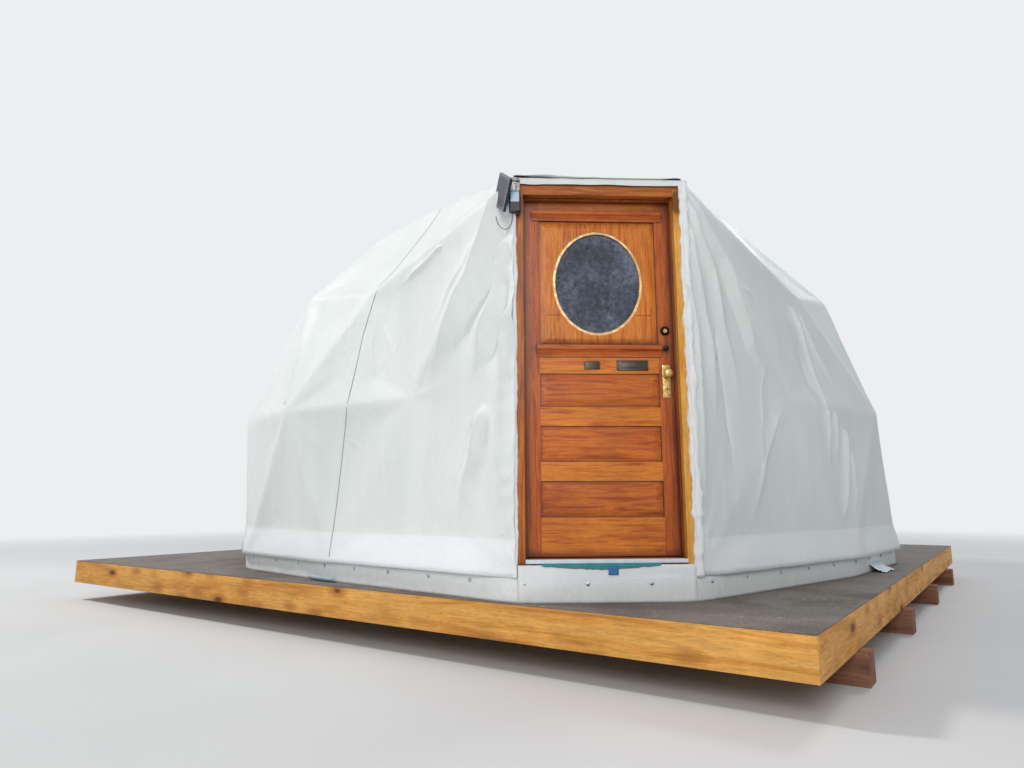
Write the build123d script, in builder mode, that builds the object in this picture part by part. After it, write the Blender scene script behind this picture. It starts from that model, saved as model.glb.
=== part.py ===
from build123d import *
import math
import os

# Geodesic dome shelter: a square timber deck on sleepers, a three-frequency frame of steel tube
# on it, a fabric cover over the frame, and a panelled timber door in a box that stands out of it.
# Millimetres. The origin is on the ground under the middle of the dome, the door faces -Y.

os.makedirs("parts", exist_ok=True)

# Seats between pieces that touch
seat = 0.3

# Frame of the dome
dome_radius = 3000
frequency = 3
ring_count = 5
tube_radius = 16
tube_sides = 6
hub_rim = 28
hub_height = 30
hub_sink = 15
hub_sides = 12
stay_radius = 10

# Deck
deck_margin = 135
deck_turn = 6.7
board = 38
rim_height = 184
sheathing = 18
felt = 4
joist_gap = 560
sleeper_height = 150
sleeper_width = 150
sleeper_reach = 50
sleeper_margin = 790
sleeper_count = 4

# Cover and the strip round its foot
cover = 10
skirt_height = 122
crown_ring = 3
back_azimuth = 108

# Feet under the lowest hubs
foot_length = 150
foot_width = 90
foot_plate = 6
foot_setback = 3

# Door leaf, from its foot up
leaf_width = 838
leaf_height = 1981
leaf = 44
leaf_gap = 5
stile = 88
bottom_rail = 203
panel_heights = (192, 195, 186)
panel_rail = 103
lock_rail = 92
ledge = 64
crown = 53
top_rail = 118

# Panels of the leaf, and the oval light in the uppermost one
panel = 26
field_inset = 10
field_slope = 30
field_rise = 7
oval_side = 78
oval_end = 60
oval_lip = 8
glass = 6
bead = 14
moulding_rise = 26
crown_overlap = 38
ledge_overlap = 16

# Door frame, a little to the left of the middle
door_x = -130
porch_reach = 480
sill_rise = 219
jamb = 40
leaf_recess = 80
header = 48
stop = 10
stop_depth = 30
threshold = 30

# Fittings of the door
hinge_height = 102
hinge_plate = 2
hinge_width = 32
hinge_margin = 180
knuckle_radius = 6
knuckles = 3
backset = 48
plate_level = 940
plate_width = 46
plate_height = 184
back_plate = 4
knob_level = 981
knob_radius = 27
knob_depth = 26
knob_chamfer = 9
knob_reach = 56
knob_sides = 12
neck_radius = 10
thumb_level = 1125
thumb_radius = 15
thumb_proud = 22
deadbolt_level = 1225
deadbolt_radius = 25
deadbolt_proud = 12
plate = 5
plate_corner = 6
letter_inset = 62
letter_width = 172
letter_height = 56
number_x = -42
number_width = 84
number_height = 44

# Lamp by the door, with a solar panel that hangs by its corner
lamp_width = 60
lamp_depth = 46
lamp_height = 116
lamp_corner = 8
lamp_overlap = 22
bracket = 14
bracket_width = 18
solar_side = 182
solar_depth = 16
solar_corner = 10
solar_turn = 20
solar_lean = 10
solar_left = 66
solar_front = 36
cable_radius = 2
cable_sides = 6
bend_share = 0.45

# Sizes, heights and places that follow from these
hub_radius = tube_radius + hub_rim
hub_rise = tube_radius - hub_sink
deck_side = 2 * (dome_radius + deck_margin)
rim_top = sleeper_height + rim_height
deck_top = rim_top + felt
sill_z = deck_top + sill_rise + leaf_gap
leaf_top = sill_z + leaf_height
head_z = leaf_top + leaf_gap
header_z = head_z + jamb
header_top = header_z + seat + header
opening_half = leaf_width / 2 + leaf_gap
frame_half = opening_half + jamb
front_y = -dome_radius - porch_reach
leaf_front = front_y + leaf_recess
leaf_back = leaf_front + leaf
pivot_x = door_x - opening_half + leaf_gap / 2
pivot_y = leaf_back + knuckle_radius + hinge_plate


def direction(elevation, azimuth):
    """Unit vector at an elevation in radians and an azimuth in degrees, 0 in front and positive to +X."""
    turn = math.radians(azimuth)
    level = math.cos(elevation)
    return Vector(level * math.sin(turn), -level * math.cos(turn), math.sin(elevation))


def icosahedron():
    """Corners of a unit icosahedron that stands on a corner, and its faces as corner numbers."""
    belt = math.atan(0.5)
    corners = [Vector(0, 0, 1)]
    corners += [direction(belt, 36 + 72 * k) for k in range(5)]
    corners += [direction(-belt, 72 + 72 * k) for k in range(5)]
    corners.append(Vector(0, 0, -1))
    faces = []
    for k in range(5):
        upper, lower = 1 + k, 6 + k
        next_upper, next_lower = 1 + (k + 1) % 5, 6 + (k + 1) % 5
        faces.append((0, upper, next_upper))
        faces.append((upper, lower, next_upper))
        faces.append((next_upper, lower, next_lower))
        faces.append((11, next_lower, lower))
    return corners, faces


def geodesic():
    """Unit hubs of the dome and its triangles: each face divided, and every point pushed out to the sphere."""
    corners, faces = icosahedron()
    hubs, triangles, known = [], [], {}

    def number(point):
        point = point.normalized()
        key = (round(point.X, 4), round(point.Y, 4), round(point.Z, 4))
        if key not in known:
            known[key] = len(hubs)
            hubs.append(point)
        return known[key]

    for face in faces:
        a, b, c = (corners[k] for k in face)
        grid = {}
        for i in range(frequency + 1):
            for j in range(frequency + 1 - i):
                grid[i, j] = number(a * (frequency - i - j) + b * i + c * j)
        for i in range(frequency):
            for j in range(frequency - i):
                triangles.append((grid[i, j], grid[i + 1, j], grid[i, j + 1]))
                if i + j < frequency - 1:
                    triangles.append((grid[i + 1, j], grid[i + 1, j + 1], grid[i, j + 1]))
    return hubs, triangles


def steps_down(hubs, triangles):
    """How many tubes lie between the top hub and each hub."""
    top = max(range(len(hubs)), key=lambda k: hubs[k].Z)
    steps, edge = {top: 0}, {top}
    while edge:
        reached = {k for t in triangles if edge & set(t) for k in t if k not in steps}
        count = 1 + max(steps.values())
        steps.update((k, count) for k in reached)
        edge = reached
    return steps


# Rings of hubs are numbered from the ground up. The lowest is levelled at its higher hubs
unit_hubs, unit_triangles = geodesic()
rings = {k: ring_count - n for k, n in steps_down(unit_hubs, unit_triangles).items() if n <= ring_count}
base_drop = min(-unit_hubs[k].Z for k in rings if rings[k] == 0)
triangles = [t for t in unit_triangles if all(k in rings for k in t)]

# The inner face of the cover touches the tubes, so it stands off the hubs' own triangles by a tube
facet_reach = min(
    abs((unit_hubs[b] - unit_hubs[a]).cross(unit_hubs[c] - unit_hubs[a]).normalized().dot(unit_hubs[a]))
    for a, b, c in triangles
)
inner_scale = 1 + (tube_radius + seat) / (facet_reach * dome_radius)
outer_scale = inner_scale + cover / dome_radius
base_z = deck_top + skirt_height + seat + (outer_scale - 1) * base_drop * dome_radius
centre = Vector(0, 0, base_z + base_drop * dome_radius)


def hub_point(k):
    """Middle of hub k of the frame."""
    hub = unit_hubs[k]
    if rings[k] == 0:
        hub = Vector(hub.X, hub.Y, -base_drop)
    return centre + hub * dome_radius


def nearest_hub(ring, azimuth):
    """The hub of a ring that lies nearest an azimuth."""
    aim = direction(0, azimuth)
    return max((k for k in rings if rings[k] == ring), key=lambda k: unit_hubs[k].dot(aim))


# The hub in the doorway is left out, with its tubes and the one that would cross the door's swing
doorway_hub = nearest_hub(1, 0)
over_door = {nearest_hub(2, -14), nearest_hub(2, 14)}
struts = set()
for t in triangles:
    for a, b in ((t[0], t[1]), (t[1], t[2]), (t[0], t[2])):
        if doorway_hub not in (a, b) and {a, b} != over_door:
            struts.add((min(a, b), max(a, b)))


def hub_axis(k):
    """Direction in which hub k faces out: square to the dome, and level where it stands on a foot."""
    out = hub_point(k) - centre
    if rings[k] == 0:
        out = Vector(out.X, out.Y, 0)
    return out.normalized()


def hub_plane(k):
    """Plane of the inner face of hub k."""
    return Plane(origin=hub_point(k) + hub_axis(k) * (hub_rise - hub_height), z_dir=hub_axis(k))


def hub_cut(k, along, radius):
    """How far a tube along a direction stops from the middle of hub k, to meet the nearest corner of its rim."""
    lean = math.asin(abs(along.dot(hub_axis(k))))
    face = hub_plane(k)
    bearing = math.degrees(math.atan2(along.dot(face.y_dir), along.dot(face.x_dir)))
    sector = 360 / hub_sides
    off_corner = math.radians((bearing + sector / 2) % sector - sector / 2)
    return (hub_radius * math.cos(off_corner) + seat + radius * math.sin(lean)) / math.cos(lean)


def strut_node(levels):
    """All tubes whose two hubs lie in one of the pairs of rings. Tubes of one length are made together."""
    kinds = {}
    for a, b in sorted(struts):
        if tuple(sorted((rings[a], rings[b]))) in levels:
            start, end = hub_point(a), hub_point(b)
            along = (end - start).normalized()
            start_cut, end_cut = (hub_cut(k, along, tube_radius) for k in (a, b))
            length = round((end - start).length - start_cut - end_cut, 1)
            kinds.setdefault(length, []).append(Plane(origin=start + along * start_cut, z_dir=along))
    with BuildPart() as node:
        for length, planes in kinds.items():
            with BuildSketch(*planes):
                RegularPolygon(tube_radius, tube_sides)
            extrude(amount=length)
    return node


def hub_node(levels):
    """The hub plates of some rings, each square to the dome."""
    planes = [hub_plane(k) for k in sorted(rings) if rings[k] in levels and k != doorway_hub]
    with BuildPart() as node:
        with BuildSketch(*planes):
            RegularPolygon(hub_radius, hub_sides)
        extrude(amount=hub_height)
    return node


# Sleepers, which lie along x of the deck's own plane
deck_plane = Plane.XY.rotated((0, 0, deck_turn - 45))
with BuildPart() as sleepers:
    with BuildSketch(deck_plane):
        with GridLocations(0, (deck_side - 2 * sleeper_margin) / (sleeper_count - 1), 1, sleeper_count):
            Rectangle(deck_side + 2 * sleeper_reach, sleeper_width)
    extrude(amount=sleeper_height)
sleepers.part.label = "deck_sleepers"
export_step(sleepers.part, "parts/deck_sleepers.step")

# Rim boards: two run through, two stand between them
inner_side = deck_side - 2 * board
with BuildPart() as rim:
    with BuildSketch(deck_plane.offset(sleeper_height + seat)):
        with Locations((0, (deck_side - board) / 2), (0, (board - deck_side) / 2)):
            Rectangle(deck_side, board)
        with Locations(((deck_side - board) / 2, 0), ((board - deck_side) / 2, 0)):
            Rectangle(board, inner_side - 2 * seat)
    extrude(amount=rim_height - seat)
rim.part.label = "deck_rim"
export_step(rim.part, "parts/deck_rim.step")

# Joists between the rim boards, across the sleepers
joist_count = int(inner_side / joist_gap)
with BuildPart() as joists:
    with BuildSketch(deck_plane.offset(sleeper_height + seat)):
        with GridLocations(inner_side / joist_count, 0, joist_count - 1, 1):
            Rectangle(board, inner_side - 2 * seat)
    extrude(amount=rim_height - sheathing - 2 * seat)
joists.part.label = "deck_joists"
export_step(joists.part, "parts/deck_joists.step")

# Sheathing inside the rim, and felt over both
with BuildPart() as deck_boards:
    with BuildSketch(deck_plane.offset(rim_top - sheathing)):
        Rectangle(inner_side - 2 * seat, inner_side - 2 * seat)
    extrude(amount=sheathing)
deck_boards.part.label = "deck_sheathing"
export_step(deck_boards.part, "parts/deck_sheathing.step")

with BuildPart() as deck_felt:
    with BuildSketch(deck_plane.offset(rim_top)):
        Rectangle(deck_side, deck_side)
    extrude(amount=felt)
deck_felt.part.label = "deck_felt"
export_step(deck_felt.part, "parts/deck_felt.step")

# Feet: a plate on the felt and a web up to the hub
foot_planes = []
for k in sorted(rings):
    if rings[k] == 0:
        under_hub = Vector(hub_point(k).X, hub_point(k).Y, deck_top)
        foot_planes.append(Plane(origin=under_hub, x_dir=hub_axis(k), z_dir=(0, 0, 1)))
with BuildPart() as feet:
    with BuildSketch(*foot_planes):
        with Locations((hub_rise - foot_setback - foot_width / 2, 0)):
            Rectangle(foot_width, foot_length)
    extrude(amount=foot_plate)
    with BuildSketch(*foot_planes):
        with Locations((hub_rise - foot_setback - hub_height / 2, 0)):
            Rectangle(hub_height, hub_radius)
    extrude(amount=base_z - hub_radius - seat - deck_top)
feet.part.label = "foot_brackets"
export_step(feet.part, "parts/foot_brackets.step")

strut_groups = {
    "base_ring_struts": [(0, 0)],
    "lower_struts": [(0, 1), (1, 1)],
    "middle_struts": [(1, 2), (2, 2)],
    "upper_struts": [(2, 3), (3, 3)],
    "crown_struts": [(3, 4), (4, 4), (4, 5)],
}
for name, levels in strut_groups.items():
    node = strut_node(levels)
    node.part.label = name
    export_step(node.part, f"parts/{name}.step")

hub_groups = {"base_hubs": [0], "frame_hubs": [1, 2, 3, 4, 5]}
for name, levels in hub_groups.items():
    node = hub_node(levels)
    node.part.label = name
    export_step(node.part, f"parts/{name}.step")

# Stays that tie the door's header back to the dome: one to each shoulder, one to the ridge
stay_half = frame_half - 2 * stay_radius
stay_z = header_top - 2 * stay_radius
stay_ends = [(-stay_half, nearest_hub(2, -14)), (0, nearest_hub(3, 0)), (stay_half, nearest_hub(2, 14))]
with BuildPart() as stays:
    for x, k in stay_ends:
        start, end = Vector(door_x + x, leaf_back, stay_z), hub_point(k)
        along = (end - start).normalized()
        header_cut = (seat + stay_radius * math.sqrt(1 - along.Y**2)) / along.Y
        with BuildSketch(Plane(origin=start + along * header_cut, z_dir=along)):
            RegularPolygon(stay_radius, tube_sides)
        extrude(amount=(end - start).length - header_cut - hub_cut(k, along, stay_radius))
stays.part.label = "door_stays"
export_step(stays.part, "parts/door_stays.step")


# Corners of the cover: over a hub it follows the dome, and at the doorway it is pulled forward over the frame
def cover_point(name):
    """Point of the cover's inner face over a hub, or at a corner of the door's frame."""
    if name in ("left_head", "right_head", "left_foot", "right_foot"):
        side = -1 if name.startswith("left") else 1
        height = header_top + seat if name.endswith("head") else base_z
        return Vector(door_x + side * (frame_half + seat), front_y, height)
    return centre + (hub_point(name) - centre) * inner_scale


def cover_shell(facets):
    """A stretch of cover: inner and outer facets, and the rim where no neighbour goes on."""
    growth = outer_scale / inner_scale
    faces, edges = [], {}
    for facet in facets:
        inner = [cover_point(name) for name in facet]
        outer = [centre + (point - centre) * growth for point in inner]
        faces.append(Face(Wire.make_polygon(inner)))
        faces.append(Face(Wire.make_polygon(outer)))
        for a, b in ((0, 1), (1, 2), (2, 0)):
            key = frozenset((facet[a], facet[b]))
            edges.setdefault(key, []).append((inner[a], inner[b], outer[b], outer[a]))
    for strips in edges.values():
        if len(strips) == 1:
            faces.append(Face(Wire.make_polygon(strips[0])))
    return Solid(Shell(faces))


ridge_hub = nearest_hub(3, 0)
porch_facets = [("left_head", "right_head", ridge_hub)]
wing_facets = {}
for side, word in ((-1, "left"), (1, "right")):
    head, foot = f"{word}_head", f"{word}_foot"
    shoulder_hub = nearest_hub(3, side * 36)
    eave_hub = nearest_hub(2, side * 36)
    elbow_hub = nearest_hub(1, side * 24)
    ankle_hub = nearest_hub(0, side * 36)
    porch_facets.append((head, ridge_hub, shoulder_hub))
    wing_facets[word] = [
        (head, shoulder_hub, eave_hub),
        (head, eave_hub, elbow_hub),
        (head, elbow_hub, foot),
        (foot, elbow_hub, ankle_hub),
    ]

# Hubs that the porch hides, and the stretches of cover by height and azimuth
inside_porch = {doorway_hub, *over_door, nearest_hub(0, -12), nearest_hub(0, 12)}
cover_facets = {"cover_porch": porch_facets, "cover_wing_left": wing_facets["left"]}
cover_facets["cover_wing_right"] = wing_facets["right"]
for t in triangles:
    if inside_porch & set(t):
        continue
    middle = (unit_hubs[t[0]] + unit_hubs[t[1]] + unit_hubs[t[2]]) / 3
    if min(rings[k] for k in t) >= crown_ring:
        name = "cover_crown"
    else:
        azimuth = math.degrees(math.atan2(middle.X, -middle.Y))
        side = "right" if azimuth > 0 else "left"
        name = f"cover_{side}" if abs(azimuth) < back_azimuth else f"cover_back_{side}"
    cover_facets.setdefault(name, []).append(t)

for name, facets in cover_facets.items():
    with BuildPart() as node:
        add(cover_shell(facets))
    node.part.label = name
    export_step(node.part, f"parts/{name}.step")

# Strip round the foot of the cover, from one side of the door to the other
growth = outer_scale / inner_scale
for side, word in ((-1, "left"), (1, "right")):
    foot_hubs = [nearest_hub(0, side * azimuth) for azimuth in (36, 60, 84, 108, 132, 156)]
    line = [cover_point(f"{word}_foot")] + [cover_point(k) for k in foot_hubs]
    line.append(Vector(side * seat, cover_point(nearest_hub(0, 180)).Y, 0))
    outside = [Vector(p.X * growth, p.Y * growth, 0) for p in line]
    with BuildPart() as node:
        with BuildSketch(Plane.XY.offset(deck_top)):
            with BuildLine():
                Polyline(*[(p.X, p.Y) for p in line + outside[::-1]], close=True)
            make_face()
        extrude(amount=skirt_height)
    node.part.label = f"skirt_{word}"
    export_step(node.part, f"parts/skirt_{word}.step")


def block(low, high):
    """A squared timber or plate between two corners, with x measured from the middle of the door."""
    size = [b - a for a, b in zip(low, high)]
    with Locations((door_x + low[0], low[1], low[2])):
        Box(*size, align=(Align.MIN, Align.MIN, Align.MIN))


def front_plane(x, y, z):
    """A plane that faces out of the door, with x measured from the middle of the door."""
    return Plane(origin=(door_x + x, y, z), x_dir=(1, 0, 0), z_dir=(0, -1, 0))


# Door frame: jambs from the deck up, a head between them, a header over all, a threshold and its riser
for side, word in ((-1, "left"), (1, "right")):
    near, far = sorted((side * opening_half, side * frame_half))
    with BuildPart() as node:
        block((near, front_y, deck_top), (far, leaf_back, header_z))
    node.part.label = f"door_jamb_{word}"
    export_step(node.part, f"parts/door_jamb_{word}.step")

with BuildPart() as door_head:
    block((-opening_half + seat, front_y, head_z), (opening_half - seat, leaf_back, header_z))
door_head.part.label = "door_head"
export_step(door_head.part, "parts/door_head.step")

with BuildPart() as door_header:
    block((-frame_half, front_y, header_z + seat), (frame_half, leaf_back, header_top))
door_header.part.label = "door_header"
export_step(door_header.part, "parts/door_header.step")

sill_top = sill_z - leaf_gap
with BuildPart() as door_threshold:
    block((-opening_half + seat, front_y, sill_top - threshold), (opening_half - seat, leaf_back, sill_top))
door_threshold.part.label = "door_threshold"
export_step(door_threshold.part, "parts/door_threshold.step")

with BuildPart() as riser:
    low = (-opening_half + seat, front_y, deck_top)
    block(low, (opening_half - seat, front_y + board, sill_top - threshold - seat))
riser.part.label = "threshold_riser"
export_step(riser.part, "parts/threshold_riser.step")

with BuildPart() as apron:
    low = (-frame_half, front_y - seat - cover, deck_top)
    block(low, (frame_half, front_y - seat, sill_top - threshold))
apron.part.label = "door_apron"
export_step(apron.part, "parts/door_apron.step")

# Stops that the leaf closes against, on its outer side
stop_back = leaf_front - leaf_gap
with BuildPart() as stops:
    for side in (-1, 1):
        near, far = sorted((side * (opening_half - seat), side * (opening_half - stop)))
        block((near, stop_back - stop_depth, sill_top + seat), (far, stop_back, head_z - stop - seat))
    low = (-opening_half + seat, stop_back - stop_depth, head_z - stop)
    block(low, (opening_half - seat, stop_back, head_z - seat))
stops.part.label = "door_stops"
export_step(stops.part, "parts/door_stops.step")

# Door leaf, from its foot up: rails, three fielded panels, a lock rail, a ledge and the window panel
leaf_half = leaf_width / 2
field_half = leaf_half - stile
rail_heights = (bottom_rail, panel_rail, panel_rail, lock_rail + ledge)
rail_zs = []
level = sill_z
for height, above in zip(rail_heights, panel_heights + (0,)):
    rail_zs.append((level, level + height))
    level += height + above
window_z = level
crown_z = leaf_top - top_rail
rail_zs.append((crown_z, leaf_top))

with BuildPart() as stiles:
    for side in (-1, 1):
        near, far = sorted((side * field_half, side * leaf_half))
        block((near, leaf_front, sill_z), (far, leaf_back, leaf_top))
stiles.part.label = "door_stiles"
export_step(stiles.part, "parts/door_stiles.step")

with BuildPart() as rails:
    for low_z, high_z in rail_zs:
        block((-field_half + seat, leaf_front, low_z), (field_half - seat, leaf_back, high_z))
rails.part.label = "door_rails"
export_step(rails.part, "parts/door_rails.step")


def fielded_panel(low_z, high_z):
    """A board between the stiles, with a field raised on both faces that slopes down to a flat margin."""
    middle_z = (low_z + high_z) / 2
    width, height = 2 * (field_half - seat), high_z - low_z - 2 * seat
    slope_angle = math.degrees(math.atan(field_slope / field_rise))
    panel_plane = front_plane(0, leaf_front + leaf / 2, middle_z)
    with BuildSketch(panel_plane) as board_outline:
        Rectangle(width, height)
    extrude(board_outline.sketch, amount=panel / 2, both=True)
    for face in (1, -1):
        with BuildSketch(panel_plane.offset(face * panel / 2)) as slope_foot:
            Rectangle(width - 2 * field_inset, height - 2 * field_inset)
        extrude(slope_foot.sketch, amount=face * field_rise, taper=slope_angle)


with BuildPart() as panels:
    for (_, low_z), (high_z, _) in zip(rail_zs[:3], rail_zs[1:4]):
        fielded_panel(low_z, high_z)
panels.part.label = "door_panels"
export_step(panels.part, "parts/door_panels.step")

oval_half_width = field_half - oval_side
oval_half_height = (crown_z - window_z) / 2 - oval_end
oval_plane = front_plane(0, leaf_front + leaf / 2, (window_z + crown_z) / 2)
with BuildPart() as window_panel:
    fielded_panel(window_z, crown_z)
    with BuildSketch(oval_plane):
        Ellipse(oval_half_width - oval_lip, oval_half_height - oval_lip)
    extrude(amount=leaf / 2, both=True, mode=Mode.SUBTRACT)
    with BuildSketch(oval_plane.offset(-glass / 2 - seat)):
        Ellipse(oval_half_width, oval_half_height)
    extrude(amount=leaf, mode=Mode.SUBTRACT)
window_panel.part.label = "window_panel"
export_step(window_panel.part, "parts/window_panel.step")

with BuildPart() as oval_glass:
    with BuildSketch(oval_plane):
        Ellipse(oval_half_width - seat, oval_half_height - seat)
    extrude(amount=glass / 2, both=True)
oval_glass.part.label = "oval_glass"
export_step(oval_glass.part, "parts/oval_glass.step")

with BuildPart() as glass_bead:
    with BuildSketch(oval_plane.offset(glass / 2 + seat)):
        Ellipse(oval_half_width - seat, oval_half_height - seat)
        Ellipse(oval_half_width - bead, oval_half_height - bead, mode=Mode.SUBTRACT)
    extrude(amount=bead)
glass_bead.part.label = "glass_bead"
export_step(glass_bead.part, "parts/glass_bead.step")


def moulding_outline(low_z, high_z):
    """Section of a moulding that stands on the leaf: a thin foot, a hollow and a square nosing over it."""
    back, front = leaf_front - seat, leaf_front - moulding_rise
    nosing = (high_z - low_z) / 3
    foot_y = back - moulding_rise / 5
    with BuildLine() as outline:
        Polyline((foot_y, low_z), (back, low_z), (back, high_z), (front, high_z), (front, high_z - nosing))
        ThreePointArc(
            (front, high_z - nosing),
            ((front + 2 * foot_y) / 3, (low_z + 2 * (high_z - nosing)) / 3),
            (foot_y, low_z),
        )
    make_face(outline.line)


# Crown over the window panel and the ledge under it, planted on the face of the leaf
with BuildPart() as mouldings:
    for low_z, high_z, overlap in (
        (window_z - ledge, window_z - seat, ledge_overlap),
        (crown_z + seat, crown_z + crown, crown_overlap),
    ):
        with BuildSketch(Plane.YZ.offset(door_x)):
            moulding_outline(low_z, high_z)
        extrude(amount=field_half + overlap, both=True)
mouldings.part.label = "door_mouldings"
export_step(mouldings.part, "parts/door_mouldings.step")

# Hinges: knuckles in turn on the frame's plate and on the leaf's
knuckle = hinge_height / knuckles
hinge_rises = (hinge_margin, (leaf_height - hinge_height) / 2, leaf_height - hinge_margin - hinge_height)
for word, first in (("frame", 0), ("leaf", 1)):
    with BuildPart() as node:
        for rise in hinge_rises:
            low_z = sill_z + rise
            if word == "frame":
                near, far = -opening_half, -opening_half + hinge_plate
            else:
                near, far = -leaf_half - hinge_plate, -leaf_half
            block((near, pivot_y - hinge_width, low_z), (far, leaf_back, low_z + hinge_height))
            for turn in range(first, knuckles, 2):
                with BuildSketch(Plane(origin=(pivot_x, pivot_y, low_z + turn * knuckle + seat))):
                    Circle(knuckle_radius)
                extrude(amount=knuckle - 2 * seat)
                block(
                    (near, leaf_back, low_z + turn * knuckle + seat),
                    (far, pivot_y, low_z + (turn + 1) * knuckle - seat),
                )
    node.part.label = f"hinges_{word}"
    export_step(node.part, f"parts/hinges_{word}.step")

# Handle: on each face a back plate, and a knob with eased edges on a neck
lock_x = leaf_half - backset
knob_plane = front_plane(lock_x, leaf_front - seat, sill_z + knob_level)
with BuildPart() as handle:
    with BuildSketch(knob_plane.offset(knob_reach - knob_depth)):
        RegularPolygon(knob_radius, knob_sides)
    extrude(amount=knob_depth)
    chamfer(handle.edges().filter_by(Axis.Y, reverse=True), length=knob_chamfer)
    with BuildSketch(knob_plane):
        RegularPolygon(neck_radius, knob_sides)
    extrude(amount=knob_reach - knob_depth / 2)
    with BuildSketch(front_plane(lock_x, leaf_front - seat, sill_z + plate_level)):
        RectangleRounded(plate_width, plate_height, plate_corner)
    extrude(amount=back_plate)
    mirror(about=Plane(origin=(0, leaf_front + leaf / 2, 0), z_dir=(0, 1, 0)))
handle.part.label = "handle_set"
export_step(handle.part, "parts/handle_set.step")

# Ring of the deadbolt and the small knob under it
with BuildPart() as locks:
    for rise, radius, proud in (
        (deadbolt_level, deadbolt_radius, deadbolt_proud),
        (thumb_level, thumb_radius, thumb_proud),
    ):
        with BuildSketch(front_plane(lock_x, leaf_front - seat, sill_z + rise)):
            Circle(radius)
        extrude(amount=proud)
locks.part.label = "lock_cylinders"
export_step(locks.part, "parts/lock_cylinders.step")

# Letter plate and number plate on the lock rail
letter_x = field_half - letter_inset - letter_width / 2
lock_rail_z = window_z - ledge - lock_rail / 2
with BuildPart() as plates:
    with BuildSketch(front_plane(0, leaf_front - seat, lock_rail_z)):
        with Locations((letter_x, 0)):
            RectangleRounded(letter_width, letter_height, plate_corner)
        with Locations((number_x, 0)):
            RectangleRounded(number_width, number_height, plate_corner)
    extrude(amount=plate)
plates.part.label = "door_plates"
export_step(plates.part, "parts/door_plates.step")

# Lamp on the left of the frame, on a flat bracket that keeps it clear of the cover's edge
bracket_right = -frame_half + lamp_overlap
lamp_back = front_y - seat - bracket
lamp_z = leaf_top - lamp_height
with BuildPart() as lamp:
    with BuildSketch(Plane.XY.offset(lamp_z)):
        with Locations((door_x + bracket_right - lamp_width / 2, lamp_back - seat - lamp_depth / 2)):
            RectangleRounded(lamp_width, lamp_depth, lamp_corner)
    extrude(amount=lamp_height)
lamp.part.label = "lamp_body"
export_step(lamp.part, "parts/lamp_body.step")

# Solar panel: it stands on edge, nearly square to the door, and hangs by its upper corner
turn, lean = math.radians(solar_turn), math.radians(solar_lean)
facing = Vector(-math.cos(turn), -math.sin(turn), 0)
level_way = Vector(math.sin(turn), -math.cos(turn), 0)
down = level_way * math.sin(lean) - Vector(0, 0, 1) * math.cos(lean)
solar_middle = Vector(door_x - frame_half - solar_left, front_y - solar_front, leaf_top)
solar_plane = Plane(origin=solar_middle, x_dir=down, z_dir=facing)
with BuildPart() as solar:
    with BuildSketch(solar_plane):
        RectangleRounded(solar_side, solar_side, solar_corner, rotation=45)
    extrude(amount=solar_depth)
solar.part.label = "solar_panel"
export_step(solar.part, "parts/solar_panel.step")

# Bracket on the header that carries the lamp, with an arm out to the back of the solar panel
with BuildPart() as lamp_bracket:
    low = (bracket_right - bracket_width, lamp_back, lamp_z)
    block(low, (bracket_right, front_y - seat, header_top))
    arm_low = (-frame_half - 2 * solar_left, lamp_back - bracket, header_top - bracket_width)
    block(arm_low, (bracket_right, lamp_back, header_top))
    split(bisect_by=solar_plane.offset(-seat), keep=Keep.BOTTOM)
lamp_bracket.part.label = "lamp_bracket"
export_step(lamp_bracket.part, "parts/lamp_bracket.step")

# Cable: out of the lamp's foot, down in a loop and up into the lower edge of the solar panel
cable_route = (
    (-614, -3518, 2427),
    (-614, -3518, 2394),
    (-620, -3509, 2361),
    (-636, -3490, 2341),
    (-658, -3468, 2343),
    (-680, -3448, 2367),
    (-698, -3426, 2409),
    (-706, -3413, 2462),
    (-698.2, -3434.6, 2494.5),
)
points = [Vector(*p) for p in cable_route]
bends = []
for before, here, after in zip(points, points[1:], points[2:]):
    half_turn = math.radians((here - before).get_angle(after - here) / 2)
    shorter = min((here - before).length, (after - here).length)
    bends.append(bend_share * shorter / math.tan(half_turn))
print("bend radii of the cable:", [round(bend, 1) for bend in bends])
with BuildPart() as cable:
    with BuildLine() as path:
        FilletPolyline(*points, radius=bends)
    with BuildSketch(Plane(origin=points[0], z_dir=points[1] - points[0])):
        RegularPolygon(cable_radius, cable_sides)
    sweep(path=path.line)
cable.part.label = "lamp_cable"
export_step(cable.part, "parts/lamp_cable.step")
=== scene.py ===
"""Geodesic dome shelter on a timber deck, dressed over its CAD frame. Metres, Z up, the door looks to -Y."""

from math import atan2, cos, floor, pi, radians, sin, tau
import random
import bmesh
import bpy
import numpy as np
from bmesh import ops
from mathutils import Matrix, Vector, noise
from mathutils.bvhtree import BVHTree


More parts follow.
